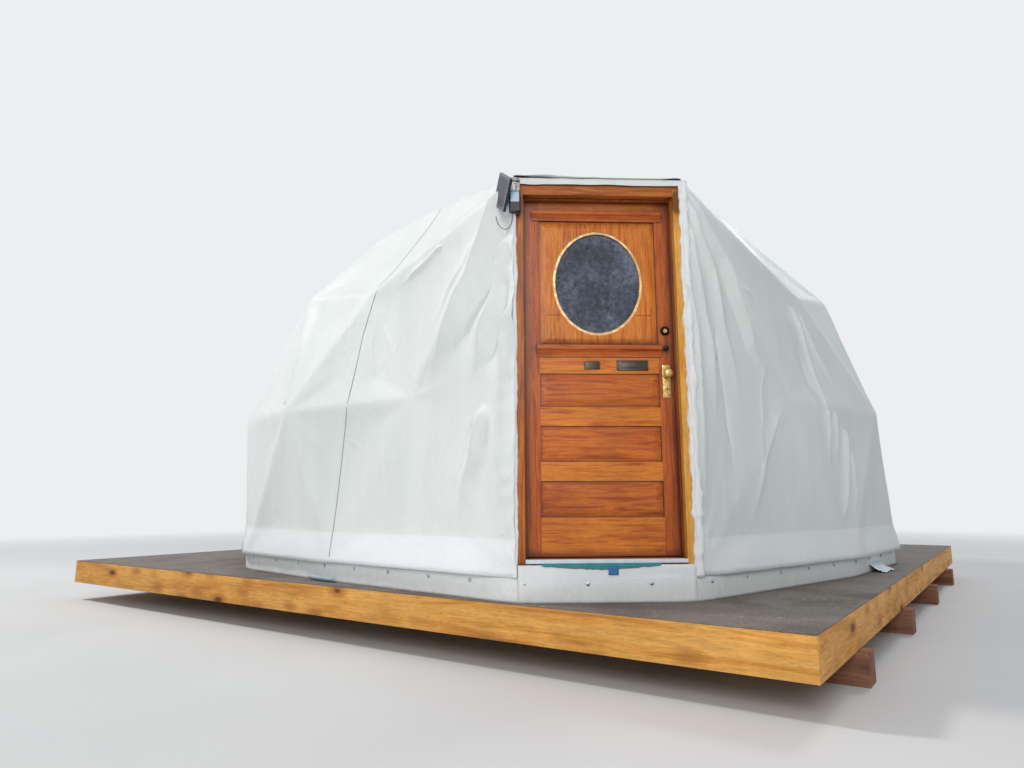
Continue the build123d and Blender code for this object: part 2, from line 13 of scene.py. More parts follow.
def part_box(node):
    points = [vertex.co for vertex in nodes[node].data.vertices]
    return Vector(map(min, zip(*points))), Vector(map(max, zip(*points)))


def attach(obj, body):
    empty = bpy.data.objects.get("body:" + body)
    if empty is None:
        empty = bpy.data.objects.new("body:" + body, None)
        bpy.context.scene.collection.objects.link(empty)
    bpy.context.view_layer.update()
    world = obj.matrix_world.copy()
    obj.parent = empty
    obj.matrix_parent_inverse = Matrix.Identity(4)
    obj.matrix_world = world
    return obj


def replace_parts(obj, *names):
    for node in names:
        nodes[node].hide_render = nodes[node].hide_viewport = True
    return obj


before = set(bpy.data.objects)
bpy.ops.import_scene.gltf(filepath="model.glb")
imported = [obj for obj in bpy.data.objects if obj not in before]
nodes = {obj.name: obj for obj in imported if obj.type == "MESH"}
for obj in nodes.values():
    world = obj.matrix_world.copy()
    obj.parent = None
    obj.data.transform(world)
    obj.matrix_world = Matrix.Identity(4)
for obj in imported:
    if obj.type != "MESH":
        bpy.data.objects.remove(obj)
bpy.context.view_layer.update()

# Camera, at the photograph's angle.
camera_place = Vector((-0.795, -7.198, 0.861))
camera_pitch = radians(9.31)
camera_yaw = radians(2.71)
camera_roll = radians(-0.25)
camera_lens = 24.77

# Places that the pieces share with the frame.
forward = Vector((0, -1, 0))
up = Vector((0, 0, 1))
deck_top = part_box("deck_felt")[1].z
heart = Vector((0, 0, 0.977))
skirt_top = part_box("skirt_left")[1].z
door_x = -0.13
frame_half = 0.4643
front_y = -3.48
head_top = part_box("door_header")[1].z

# Deck, turned about the middle of the dome.
deck_turn = radians(6.7 - 45)
deck_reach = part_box("deck_felt")[1].x
deck_half = deck_reach / (cos(deck_turn) - sin(deck_turn))
board = 0.038

# Cover.
facet_cuts = 18
fabric = 0.002
screw_gap = 0.34
first_screw = (0.08, -3.49, 0)
screw_level = 0.096
foot_step = 0.03
strip_height = 0.132
skirt_height = skirt_top - deck_top
band_height = 0.32
band_rise = 0.04
tube_sag = 0.028
tube_reach = 0.16
tube_clear = 0.009
wander = 0.014
fold_gain = 1.9
fold_sharp = 0.8
fold_back = -1.5
far_off = 99
fine_back = -1.42
fold_margins = (1.7, 1.05)
seam_thick = 0.0035
wrinkle_width = 0.05
wrinkle_rise = 0.009
front_depth = 0.3
ray_start = 9
crown_steps = 60
crown_end = 0.99
chance = random.Random(7)


def shown(name, data):
    """A new object with this data, in the scene."""
    thing = bpy.data.objects.new(name, data)
    bpy.context.collection.objects.link(thing)
    return thing


# The camera looks along +Y, turned by its yaw and lifted by its pitch.
camera = shown("camera", bpy.data.cameras.new("camera"))
camera.data.lens = camera_lens
camera.data.sensor_width = 36
camera.data.sensor_fit = "HORIZONTAL"
aimed = Matrix.Rotation(-camera_yaw, 4, "Z") @ Matrix.Rotation(pi / 2 + camera_pitch, 4, "X")
camera.matrix_world = Matrix.Translation(camera_place) @ aimed @ Matrix.Rotation(camera_roll, 4, "Z")
bpy.context.scene.camera = camera


# Materials.


def add(near, kind, sockets=None, **settings):
    """A node beside this one, with settings, and with sockets set to a value or joined to another socket."""
    tree = near.id_data
    node = tree.nodes.new("ShaderNode" + kind)
    for name, value in settings.items():
        setattr(node, name, value)
    for name, value in (sockets or {}).items():
        if isinstance(value, bpy.types.NodeSocket):
            tree.links.new(value, node.inputs[name])
        else:
            node.inputs[name].default_value = value
    return node


def surface(name, **sockets):
    """A new material with its coordinates and its shader, whose sockets are set."""
    material = bpy.data.materials.new(name)
    material.use_nodes = True
    shader = material.node_tree.nodes["Principled BSDF"]
    for socket, value in sockets.items():
        shader.inputs[socket.replace("_", " ")].default_value = value
    return material, add(shader, "TexCoord").outputs["Object"], shader


def stretched(place, scale, turn=(0, 0, 0), shift=(0, 0, 0)):
    """The place, scaled along each axis."""
    sockets = {"Vector": place, "Scale": scale, "Rotation": turn, "Location": shift}
    return add(place, "Mapping", sockets).outputs["Vector"]


def cloudy(place, scale, detail=4, roughness=0.5, distortion=0):
    """Noise at this place, from 0 to 1."""
    sockets = {"Vector": place, "Scale": scale, "Detail": detail}
    sockets |= {"Roughness": roughness, "Distortion": distortion}
    return add(place, "TexNoise", sockets).outputs["Fac"]


def opaque(tone):
    """A colour that hides what is behind it, from three parts or from one grey."""
    return (*tone, 1) if isinstance(tone, tuple) else (tone, tone, tone, 1)


def ramp(factor, *stops):
    """The colour at this factor, from stops of position and colour or grey."""
    node = add(factor, "ValToRGB", {"Fac": factor})
    elements = node.color_ramp.elements
    while len(elements) < len(stops):
        elements.new(0.5)
    for element, (position, tone) in zip(elements, stops):
        element.position = position
        element.color = opaque(tone)
    return node.outputs["Color"]


def mixed(factor, first, second, blend="MIX"):
    """One colour over another."""
    sockets = {0: factor, 6: first, 7: opaque(second) if isinstance(second, tuple) else second}
    return add(first, "Mix", sockets, data_type="RGBA", blend_type=blend).outputs[2]


def toned(share, colour, factor, *stops):
    """The colour, multiplied in this share by a ramp at this factor."""
    return mixed(share, colour, ramp(factor, *stops), "MULTIPLY")


def reckoned(operation, first, second):
    """What this operation makes of two values."""
    return add(first, "Math", {0: first, 1: second}, operation=operation).outputs[0]


def between(value, low, high, at_low=0, at_high=1):
    """How far the value is from low to high, as a number from at_low to at_high."""
    span = {"Value": value, "From Min": low, "From Max": high, "To Min": at_low, "To Max": at_high}
    return add(value, "MapRange", span).outputs["Result"]


def bumped(height, distance, strength=1.0, over=None):
    """A normal from this height, over another normal."""
    sockets = {"Height": height, "Distance": distance, "Strength": strength}
    if over:
        sockets["Normal"] = over
    return add(height, "Bump", sockets).outputs["Normal"]


def join(node, **sockets):
    for name, value in sockets.items():
        node.id_data.links.new(value, node.inputs[name.replace("_", " ")])


def make_fabric(name, tint, shade, soil, hem=0.0):
    """Coated white fabric: a fine weave, crumples, faint creases, a whiter hem, and soil near the deck."""
    soft = {"Subsurface_Weight": 0.06, "Subsurface_Radius": (0.02, 0.02, 0.018), "Subsurface_Scale": 0.4}
    material, place, shader = surface(name, Sheen_Weight=0.04, Specular_IOR_Level=0.3, **soft)
    height = add(place, "SeparateXYZ", {"Vector": place}).outputs["Z"]
    hem_top = deck_top + band_height
    colour = ramp(cloudy(place, 0.9, 5), (0.35, tint), (0.7, shade))
    streaks = cloudy(stretched(place, (6, 6, 0.5)), 1.0, 5, 0.6)
    colour = toned(0.5, colour, streaks, (0.42, 0.93), (0.6, 1))
    whiter = between(height, hem_top - 0.008, hem_top + 0.002, hem, 0)
    colour = mixed(whiter, colour, (0.93, 0.95, 0.96))
    low = between(height, deck_top, deck_top + 0.1, soil, 0)
    stain = reckoned("MULTIPLY", low, cloudy(place, 26, 6, 0.65))
    colour = mixed(stain, colour, (0.33, 0.32, 0.24))
    crumple = cloudy(stretched(place, (1, 1, 0.7)), 5, 8, 0.6, 0.8)
    creases = cloudy(stretched(place, (1, 1, 0.5)), 16, 3, 0.5, 1.5)
    normal = bumped(crumple, 0.022, 0.4)
    normal = bumped(ramp(creases, (0.44, 0), (0.5, 1), (0.56, 0)), 0.0016, 0.4, normal)
    normal = bumped(cloudy(place, 900, 2), 0.0004, 0.2, normal)
    rough = ramp(cloudy(place, 3, 3), (0.3, 0.5), (0.7, 0.64))
    join(shader, Base_Color=colour, Normal=normal, Roughness=rough)
    return material


def make_wood(name, along, tones, scale=1, rough=0.45, knots=0, turn=0, shift=(0, 0, 0), coat=0, painted_shade=0):
    """Wood with its grain along an axis: broad figure, streaks and pores, knots, and painted shade darkening
    its corners and recesses.
    """
    material, place, shader = surface(name, Coat_Weight=coat, Coat_Roughness=0.12, Specular_IOR_Level=0.3)
    pale, mid, dark = tones
    along_grain, oval = [scale] * 3, [1.0] * 3
    along_grain["xyz".index(along)] *= 0.07
    oval["xyz".index(along)] = 0.45
    turned = stretched(place, (1, 1, 1), turn=(0, 0, turn))
    grain = stretched(turned, along_grain, shift=shift)
    figure = cloudy(grain, 20, 4, 0.55, 0.7)
    streaks = cloudy(grain, 120, 4, 0.6, 0.3)
    pores = cloudy(grain, 520, 2, 0.6)
    blotches = cloudy(turned, 3.0, 4, 0.6)
    colour = ramp(figure, (0.26, dark), (0.44, mid), (0.58, pale), (0.74, mid))
    colour = toned(0.75, colour, streaks, (0.36, 0.72), (0.58, 1))
    colour = toned(0.5, colour, pores, (0.38, 0.6), (0.52, 1))
    colour = toned(0.7, colour, blotches, (0.35, 0.78), (0.65, 1.08))
    # Painted shade: ambient occlusion darkens the colour in the wood's corners and recesses.
    if painted_shade:
        open_share = add(place, "AmbientOcclusion", {"Distance": 0.06}, samples=8).outputs["AO"]
        shade_share = ramp(open_share, (0.55, painted_shade), (0.93, 0))
        colour = mixed(shade_share, colour, tuple(part * 0.22 for part in dark))
    if knots:
        cells = {"Vector": stretched(turned, oval, shift=shift), "Scale": knots}
        spots = add(place, "TexVoronoi", cells).outputs["Distance"]
        for inner, outer, share in ((0.12, 0.34, 0.8), (0.1, 0.15, 0.25)):
            darker = tuple(part * share for part in dark)
            colour = mixed(ramp(spots, (inner, 1), (outer, 0)), colour, darker)
    normal = bumped(pores, 0.0004, 0.5, bumped(streaks, 0.0012, 0.4))
    shine = ramp(streaks, (0.3, rough + 0.16), (0.7, rough))
    join(shader, Base_Color=colour, Normal=normal, Roughness=shine)
    return material


def make_metal(name, colour, dull, rough, scale=60, worn=0.5):
    """Metal with cloudy tarnish and fine scratches."""
    material, place, shader = surface(name, Metallic=1.0)
    tarnish = cloudy(place, scale, 6, 0.6)
    tone = ramp(tarnish, (0.4, colour), (0.4 + worn * 0.5, dull))
    scratches = cloudy(stretched(place, (1, 1, 0.1)), scale * 8, 3)
    shine = ramp(tarnish, (0.35, rough), (0.7, min(1, rough + 0.25)))
    join(shader, Base_Color=tone, Normal=bumped(scratches, 0.0002, 0.3), Roughness=shine)
    return material


def make_plastic(name, colour, rough):
    """Moulded plastic with a fine grain."""
    material, place, shader = surface(name)
    cloud = cloudy(place, 14, 4)
    tone = ramp(cloud, (0.3, colour), (0.7, tuple(part * 1.25 + 0.004 for part in colour)))
    normal = bumped(cloudy(place, 1400, 2), 0.0002, 0.6)
    shine = ramp(cloud, (0.3, rough), (0.7, rough + 0.15))
    join(shader, Base_Color=tone, Normal=normal, Roughness=shine)
    return material


def make_felt(name):
    """Mineral felt: dark grey-brown grit with pale grains, damp patches and leaf litter."""
    material, place, shader = surface(name)
    grit = cloudy(place, 150, 5, 0.8)
    patches = cloudy(place, 1.6, 6, 0.6)
    damp, dry, drab = (0.085, 0.075, 0.07), (0.19, 0.165, 0.145), (0.12, 0.105, 0.085)
    colour = ramp(patches, (0.3, damp), (0.52, dry), (0.7, drab))
    colour = toned(0.8, colour, grit, (0.42, 0.5), (0.62, 1.7))
    litter = add(place, "TexVoronoi", {"Vector": place, "Scale": 15.0}).outputs["Distance"]
    leaf = ramp(litter, (0.14, 1), (0.18, 0))
    clumps = ramp(cloudy(place, 3.5, 3), (0.48, 0), (0.6, 1))
    colour = mixed(reckoned("MULTIPLY", leaf, clumps), colour, (0.4, 0.27, 0.11))
    rough = ramp(patches, (0.3, 0.62), (0.7, 0.95))
    join(shader, Base_Color=colour, Normal=bumped(grit, 0.0015, 0.7), Roughness=rough)
    return material


def make_glass(name):
    """Old window glass, a little wavy, with rain spots and a dusty, mottled haze whose lighter blue-grey is
    partly painted reflection.
    """
    material, place, shader = surface(name, Roughness=0.03, IOR=1.5, Transmission_Weight=0.35)
    # Lighter blue-grey mottling: partly a dusty haze, partly painted reflection.
    dust_and_reflection = mixed(0.45, cloudy(place, 34, 8, 0.75), cloudy(place, 5, 3))
    tone = ramp(dust_and_reflection, (0.42, (0.035, 0.045, 0.06)), (0.52, (0.11, 0.13, 0.19)), (0.64, (0.3, 0.33, 0.42)))
    join(shader, Base_Color=tone, Normal=bumped(cloudy(place, 5, 1), 0.001, 0.15))
    return material


def make_cells(name):
    """Solar cells: dark blue wafers under glass, with fine silver lines."""
    glassy = {"Coat_Weight": 0.2, "Coat_Roughness": 0.05, "Roughness": 0.3, "Specular_IOR_Level": 0.25}
    material, place, shader = surface(name, **glassy)
    sockets = {"Vector": place, "Scale": 26.0, "Mortar": (0.09, 0.1, 0.12, 1), "Mortar Size": 0.012}
    sockets |= {"Color1": (0.012, 0.014, 0.03, 1), "Color2": (0.02, 0.02, 0.04, 1)}
    wafers = add(place, "TexBrick", sockets, offset=0.0).outputs["Color"]
    join(shader, Base_Color=wafers, Normal=bumped(cloudy(place, 60, 2), 0.0003, 0.3))
    return material


white_cover = make_fabric("white cover", (0.87, 0.9, 0.88), (0.8, 0.85, 0.82), 0.3, hem=0.7)
white_strip = make_fabric("white strip", (0.93, 0.94, 0.94), (0.89, 0.9, 0.9), 0.45)
# The seams' dark grey-green is painted shade, standing for the shadow of the raised welt.
seam_with_painted_shade = make_fabric("welded seam", (0.4, 0.44, 0.42), (0.34, 0.38, 0.36), 0.3)
honey = ((0.92, 0.48, 0.12), (0.84, 0.38, 0.075), (0.55, 0.2, 0.035))
reddish = ((0.36, 0.17, 0.1), (0.27, 0.12, 0.07), (0.13, 0.06, 0.04))
varnished = ((0.66, 0.155, 0.016), (0.52, 0.095, 0.009), (0.28, 0.04, 0.004))
russet = ((0.76, 0.2, 0.02), (0.6, 0.12, 0.011), (0.32, 0.05, 0.005))
amber = ((0.88, 0.28, 0.028), (0.74, 0.185, 0.014), (0.42, 0.07, 0.006))
stained = ((0.64, 0.2, 0.03), (0.48, 0.12, 0.016), (0.26, 0.05, 0.007))
fresh = ((0.98, 0.52, 0.11), (0.92, 0.42, 0.065), (0.72, 0.27, 0.04))
sawn = ((0.74, 0.55, 0.33), (0.66, 0.46, 0.26), (0.5, 0.33, 0.17))
shadowy = ((0.1, 0.03, 0.01), (0.07, 0.02, 0.006), (0.03, 0.01, 0.004))
rim_board = make_wood("rim board", "x", honey, 0.9, 0.55, knots=6.5)
joint_wood = make_wood("joint wood", "x", shadowy, 2.0)
zinc = make_metal("zinc", (0.62, 0.64, 0.66), (0.42, 0.44, 0.46), 0.38, 24)
aged_brass = make_metal("aged brass", (0.74, 0.52, 0.2), (0.32, 0.2, 0.07), 0.28, 55)
black_iron = make_metal("black iron", (0.03, 0.03, 0.032), (0.012, 0.012, 0.012), 0.4, 80)
pale_bar = make_plastic("pale bar", (0.62, 0.68, 0.74), 0.35)
grey_blue_sheet = make_plastic("grey blue sheet", (0.36, 0.45, 0.5), 0.5)
pale_sheet = make_plastic("pale sheet", (0.66, 0.76, 0.82), 0.4)
teal_sheet = make_plastic("teal sheet", (0.03, 0.22, 0.24), 0.5)
blue_tape = make_plastic("blue tape", (0.02, 0.16, 0.38), 0.45)
worn_bronze = make_metal("worn bronze", (0.085, 0.072, 0.06), (0.06, 0.05, 0.042), 0.38, 8, 0.8)
blue_plastic = make_plastic("blue plastic", (0.42, 0.55, 0.66), 0.4)
grey_plastic = make_plastic("grey plastic", (0.34, 0.35, 0.38), 0.4)
cable_plastic = make_plastic("cable plastic", (0.012, 0.012, 0.013), 0.45)

finishes = (
    (make_wood("rough sleeper", "x", reddish, 0.7, 0.75, turn=-deck_turn), "deck_sleepers"),
    (rim_board, "deck_rim"),
    (make_wood("pale joist", "y", sawn, 0.8, 0.6, turn=-deck_turn), "deck_joists"),
    (make_wood("pale ply", "x", sawn, 0.5, 0.65, turn=-deck_turn), "deck_sheathing"),
    (make_felt("mineral felt"), "deck_felt"),
    (zinc, "foot_brackets", "base_ring_struts", "lower_struts", "middle_struts", "upper_struts"),
    (zinc, "crown_struts", "base_hubs", "frame_hubs", "door_stays"),
    (
        make_wood("frame upright", "z", stained, 1.8, 0.4, shift=(9, 2, 5), coat=0.1, painted_shade=0.7),
        "door_jamb_left", "door_stops",
    ),
    (make_wood("pale upright", "z", fresh, 1.2, 0.6, knots=4.0, shift=(4, 8, 1)), "door_jamb_right"),
    (
        make_wood("frame across", "x", stained, 1.8, 0.4, shift=(9, 2, 5), coat=0.1, painted_shade=0.7),
        "door_head", "door_header", "door_threshold",
    ),
    (make_wood("pale across", "x", fresh, 1.0, 0.5, shift=(4, 8, 1)), "threshold_riser"),
    (make_wood("oak upright", "z", varnished, 2.6, 0.3, coat=0.15, painted_shade=0.85), "door_stiles"),
    (make_wood("oak across", "x", amber, 2.8, 0.3, shift=(3, 1, 7), coat=0.15, painted_shade=0.85), "door_rails"),
    (make_wood("oak field", "x", russet, 2.4, 0.3, shift=(8, 6, 3), coat=0.15, painted_shade=0.9), "door_panels"),
    (make_wood("oak panel", "z", amber, 2.8, 0.3, shift=(6, 4, 2), coat=0.15, painted_shade=0.85), "window_panel"),
    (
        make_wood("oak moulding", "x", varnished, 2.8, 0.3, shift=(1, 5, 9), coat=0.15, painted_shade=0.9),
        "door_mouldings",
    ),
    (make_glass("old glass"), "oval_glass"),
    (make_metal("pale gold", (0.66, 0.47, 0.25), (0.5, 0.34, 0.17), 0.4, 30, 0.3), "glass_bead"),
    (
        make_metal("dark steel", (0.3, 0.29, 0.28), (0.12, 0.1, 0.09), 0.4, 70),
        "hinges_frame", "hinges_leaf", "lamp_bracket",
    ),
    (aged_brass, "handle_set"),
    (black_iron, "lock_cylinders", "door_plates"),
    (make_plastic("dark plastic", (0.02, 0.021, 0.024), 0.4), "lamp_body"),
    (make_cells("dark cells"), "solar_panel"),
)
for material, *names in finishes:
    for name in names:
        for slot in nodes[name].material_slots:
            slot.material = material


# Shapes.


def mesh_from(bm, name):
    mesh = bpy.data.meshes.new(name)
    bm.to_mesh(mesh)
    bm.free()
    return mesh


def put(bm, name, material, body="root", smooth=True):
    """A new object of this shape, which rides on a body and takes its finish from a slot."""
    ops.recalc_face_normals(bm, faces=bm.faces)
    mesh = mesh_from(bm, name)
    mesh.materials.append(material)
    mesh.polygons.foreach_set("use_smooth", [smooth] * len(mesh.polygons))
    piece = shown(name, mesh)
    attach(piece, body)
    return piece


def outer_shell(names, least):
    """The faces of these nodes that look away from the dome's heart, welded into one bare surface."""
    bm = bmesh.new()
    for name in names:
        mesh = nodes[name].data
        corners = [bm.verts.new(vertex.co) for vertex in mesh.vertices]
        for polygon in mesh.polygons:
            if polygon.normal.dot((polygon.center - heart).normalized()) > least:
                bm.faces.new([corners[i] for i in polygon.vertices])
    ops.delete(bm, geom=[v for v in bm.verts if not v.link_faces], context="VERTS")
    ops.remove_doubles(bm, verts=bm.verts, dist=0.004)
    ops.dissolve_limit(bm, angle_limit=0.01, verts=bm.verts, edges=bm.edges)
    ops.triangulate(bm, faces=bm.faces)
    ops.recalc_face_normals(bm, faces=bm.faces)
    return bm


def thicken(piece, thickness):
    """Puts this thickness inside the piece's surface."""
    piece.modifiers.new("thickness", "SOLIDIFY").thickness = thickness


# Folds of the cover, in centimetres: width, rise, sharpness, and a line in x and height above the deck, as seen
# from the front.
in_cm = (
    # The long ones, from the door's head down to the left elbow.
    (5, 4.2, 1.6, (-62, 228), (-74, 205), (-90, 172), (-104, 142), (-114, 120)),
    (4.2, -2.8, 1.6, (-62, 214), (-72, 190), (-86, 160), (-98, 132)),
    (3.8, 3.4, 1.6, (-63, 198), (-71, 166), (-82, 132), (-88, 110)),
    (3.6, -2.2, 1.5, (-63, 172), (-70, 148), (-78, 120)),
    (2.6, 1.4, 1.6, (-80, 204), (-98, 180), (-112, 152)),
    (2.2, 1.2, 1.3, (-102, 212), (-120, 203), (-140, 194)),
    # From the left edge of the frame down to the foot.
    (3.4, 2.8, 1.5, (-61, 162), (-66, 130), (-68, 90), (-64, 45), (-62, 20)),
    (4.6, 2.6, 1.7, (-78, 105), (-82, 78), (-90, 50), (-92, 34)),
    (1.8, -1, 1.3, (-84, 98), (-90, 66), (-98, 36)),
    (1.2, 0.5, 1.2, (-106, 102), (-103, 70), (-99, 34)),
    (1.2, 0.4, 1.2, (-140, 94), (-138, 58)),
    (1.4, 1, 1.2, (-60, 169), (-70, 162)),
    # Creases that fan out under the hub above the left elbow.
    (2.2, 0.5, 1.5, (-150, 186), (-142, 162), (-134, 142)),
    (1.4, 0.4, 1.4, (-155, 174), (-153, 146), (-150, 124)),
    (1.2, 0.3, 1.5, (-168, 94), (-156, 84)),
    # The fan from the right corner of the door's head.
    (2.4, 2.6, 1.4, (37, 228), (50, 210), (66, 194), (76, 170), (90, 144), (114, 112)),
    (1.8, -0.7, 1.3, (48, 206), (62, 190), (72, 166), (86, 140), (108, 110)),
    (3.2, 2.2, 1.6, (36, 224), (45, 202), (56, 184), (64, 152), (74, 122), (80, 98)),
    (3.6, 2, 1.8, (36, 210), (43, 182), (49, 150), (54, 116), (55, 80)),
    (3, 1.6, 1.7, (36, 174), (40, 140), (42, 100), (42, 62), (44, 30)),
    (2, -1, 1.4, (58, 152), (64, 120), (68, 86), (66, 50)),
    (1.4, 0.6, 1.2, (86, 184), (96, 182), (104, 168)),
    (1.2, 0.5, 1.2, (100, 136), (94, 96), (88, 44)),
    # Ridges from the right shoulder down past the elbow.
    (1.8, 2.4, 1.4, (144, 192), (152, 166), (158, 136), (162, 110), (166, 86)),
    (2, -1, 1.6, (140, 184), (147, 154), (152, 128), (155, 108)),
    (1.4, 1.6, 1.4, (152, 190), (166, 160), (178, 136), (186, 116)),
    (1.4, 1.4, 1.3, (162, 114), (163, 90), (160, 70)),
    (1.4, 1.4, 1.3, (172, 114), (171, 92), (170, 72)),
    (1.8, 2.4, 1.4, (180, 102), (178, 72), (172, 46), (162, 30)),
    (1.6, 1.2, 1.4, (186, 86), (186, 58), (182, 34)),
    (2, 1, 1.4, (112, 106), (92, 72), (78, 34)),
)
front_folds = [(width / 100, rise / 100, power, np.array(line) / 100) for width, rise, power, *line in in_cm]
seam_line = ((-177, 16), (-173, 70), (-169, 121), (-162, 170), (-154, 200), (-137, 223), (-105, 275))


def along_line(places, line):
    """Each place's distance from a line of points, and how far along the line it is nearest, from 0 to 1."""
    line = np.array(line, dtype=float)
    lengths = np.linalg.norm(line[1:] - line[:-1], axis=1)
    before = np.concatenate(([0], np.cumsum(lengths)))
    distance = np.full(len(places), 1e9)
    along = np.zeros(len(places))
    for i, length in enumerate(lengths):
        run = line[i + 1] - line[i]
        share = np.clip((places - line[i]) @ run / (run @ run), 0, 1)
        gap = np.linalg.norm(places - line[i] - share[:, None] * run, axis=1)
        nearer = gap < distance
        distance[nearer] = gap[nearer]
        along[nearer] = ((before[i] + share * length) / before[-1])[nearer]
    return distance, along


def wave(places, scale, seed):
    """Smooth noise at these places, about -1 to 1."""
    shift = Vector((seed * 7.3, seed * 3.1, seed * 5.7))
    return np.array([noise.noise(Vector(p) * scale + shift) for p in places])


def smooth_step(values, low, high):
    """0 below low, 1 above high, and smooth between."""
    share = np.clip((values - low) / (high - low), 0, 1)
    return share * share * (3 - 2 * share)


def from_the_front(places):
    """x and height above the deck of places on the front of the cover; those on its back lie far off."""
    flat = np.stack([places[:, 0], places[:, 2] - deck_top], axis=1)
    flat[places[:, 1] > fold_back] += far_off
    return flat


def relax(bm):
    """Draws the mesh's inner points towards their neighbours."""
    inside = [v for v in bm.verts if not v.is_boundary]
    ops.smooth_vert(bm, verts=inside, factor=0.4, use_axis_x=True, use_axis_y=True, use_axis_z=True)


def refine(bm, chosen):
    """Halves the chosen edges."""
    edges = list(bm.edges)
    ops.subdivide_edges(bm, edges=[edges[i] for i in np.flatnonzero(chosen)], cuts=1, use_grid_fill=True)
    ops.triangulate(bm, faces=[f for f in bm.faces if len(f.verts) > 3])


def edge_middles(bm):
    return np.array([(e.verts[0].co + e.verts[1].co) / 2 for e in bm.edges])


def near_folds(places, margin):
    """Which places lie near one of the front's folds."""
    flat = from_the_front(places)
    return np.any([along_line(flat, line)[0] < width * margin for width, _, _, line in front_folds], axis=0)


def hub_wrinkles(bm):
    """Short wrinkles from each corner of the cover into its facets: two ends and a share of the rise."""
    wrinkles = []
    for vertex in sorted(bm.verts, key=lambda v: tuple(round(c, 2) for c in v.co)):
        faces = sorted(vertex.link_faces, key=lambda f: tuple(round(c, 2) for c in f.calc_center_median()))
        for face in faces:
            others = [v.co for v in face.verts if v is not vertex]
            aim = others[0].lerp(others[1], chance.uniform(0.25, 0.75))
            start = vertex.co.lerp(aim, chance.uniform(0.02, 0.06))
            end = vertex.co.lerp(aim, chance.uniform(0.3, 0.6))
            wrinkles.append((start, end, chance.uniform(0.4, 1.0)))
    return wrinkles


def fold_rise(places, wrinkles):
    """How far the folds and the wrinkles at the hubs lift the cover at each place."""
    drift = np.stack([wave(places, 5.0, seed) for seed in (1, 2, 3)], axis=1) * wander
    moved = places + drift
    flat = from_the_front(moved)
    rise = np.zeros(len(places))
    for width, height, power, line in front_folds:
        distance, along = along_line(flat, line)
        fade = smooth_step(along, -0.02, 0.1) * smooth_step(1 - along, 0, 0.55)
        swell = 1 + 0.2 * np.sin(along * 9 + width * 400)
        spread = width * (0.55 + 0.85 * along)
        rise += fold_gain * height * fade * swell * np.exp(-((distance / spread) ** (power * fold_sharp)))
    for start, end, share in wrinkles:
        distance, along = along_line(moved, (start, end))
        fade = smooth_step(1 - along, 0.0, 0.5)
        width = wrinkle_width * (0.4 + along)
        rise += wrinkle_rise * share * fade * np.exp(-((distance / width) ** 1.6))
    return rise


def tube_distance(places, tubes):
    """How far each place is from the nearest of the lines that hold the cover out."""
    return np.min([along_line(places, tube)[0] for tube in tubes], axis=0)


def beside_frame(places):
    """How far each place is to the side of the door's frame, and which places are on the front beside it."""
    return np.abs(places[:, 0] - door_x) - frame_half, places[:, 1] < front_y + front_depth


def frame_pucker(places):
    """Gathers along the edges that are drawn round the door's frame."""
    off_frame, at_front = beside_frame(places)
    near = np.exp(-np.maximum(off_frame, 0) / 0.06) * at_front
    return 0.005 * near * np.sin(places[:, 2] * 46 + wave(places, 3.0, 11) * 6)


def make_cover():
    """One sheet over the whole frame: soft over its tubes, drawn to the door, folded and creased."""
    names = sorted(name for name in nodes if name.startswith("cover_"))
    bm = outer_shell(names, 0.5)
    wrinkles = hub_wrinkles(bm)
    tubes = [[tuple(v.co) for v in edge.verts] for edge in bm.edges]
    ops.subdivide_edges(bm, edges=bm.edges, cuts=facet_cuts - 1, use_grid_fill=True)
    refine(bm, edge_middles(bm)[:, 1] < fine_back)
    relax(bm)
    for margin in fold_margins:
        refine(bm, near_folds(edge_middles(bm), margin))
    bm.normal_update()
    places = np.array([v.co for v in bm.verts])
    height = places[:, 2] - deck_top
    rise = wave(places, 1.7, 4) * 0.01
    rise += wave(places * np.array([3.4, 3.4, 0.7]), 1.0, 5) * 0.007
    rise += wave(places * np.array([7.0, 7.0, 2.5]), 1.0, 7) * 0.003
    rise += wave(places, 14.0, 6) * 0.0012
    rise += fold_rise(places, wrinkles) + frame_pucker(places)
    off_tube = tube_distance(places, tubes)
    rise[rise < 0] *= smooth_step(off_tube, 0.02, 0.15)[rise < 0]
    rise += tube_clear - tube_sag * (1 - np.exp(-off_tube / tube_reach))
    rise *= 0.2 + 0.8 * smooth_step(height, skirt_height, skirt_height + 0.15)
    flare = np.clip((band_height - height) / (band_height - skirt_height), 0, 1)
    off_frame, at_front = beside_frame(places)
    flare[at_front] *= smooth_step(off_frame, 0, 0.22)[at_front]
    hem_ripple = wave(places * np.array([5.0, 5.0, 2.0]), 1.0, 9)
    rise += flare * (band_rise + 0.008 * hem_ripple)
    for vertex, lift in zip(bm.verts, rise):
        vertex.co += vertex.normal * lift
    relax(bm)
    surface_tree = BVHTree.FromBMesh(bm)
    piece = put(bm, "dome_cover", white_cover)
    area = sum(polygon.area for polygon in piece.data.polygons)
    thicken(piece, fabric)
    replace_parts(piece, *names)
    return piece, area, surface_tree


dome_cover, cover_area, cover_tree = make_cover()


def bump(x, y, z):
    """Smooth noise at this place, about -1 to 1."""
    return noise.noise(Vector((x, y, z)))


def shares(steps):
    """0 to 1 in this many steps."""
    return [i / steps for i in range(steps + 1)]


def round_steps(count):
    """The cosine and sine of this many even steps round a circle."""
    return [(cos(tau * k / count), sin(tau * k / count)) for k in range(count)]


def make_sheet(name, material, thickness, point_at, downs, alongs):
    """A thin sheet with a point for each of these values down it and along it."""
    bm = bmesh.new()
    rows = [[bm.verts.new(point_at(down, along)) for along in alongs] for down in downs]
    for first, second in zip(rows, rows[1:]):
        for i in range(len(first) - 1):
            bm.faces.new((first[i], first[i + 1], second[i + 1], second[i]))
    piece = put(bm, name, material)
    thicken(piece, thickness)
    return piece


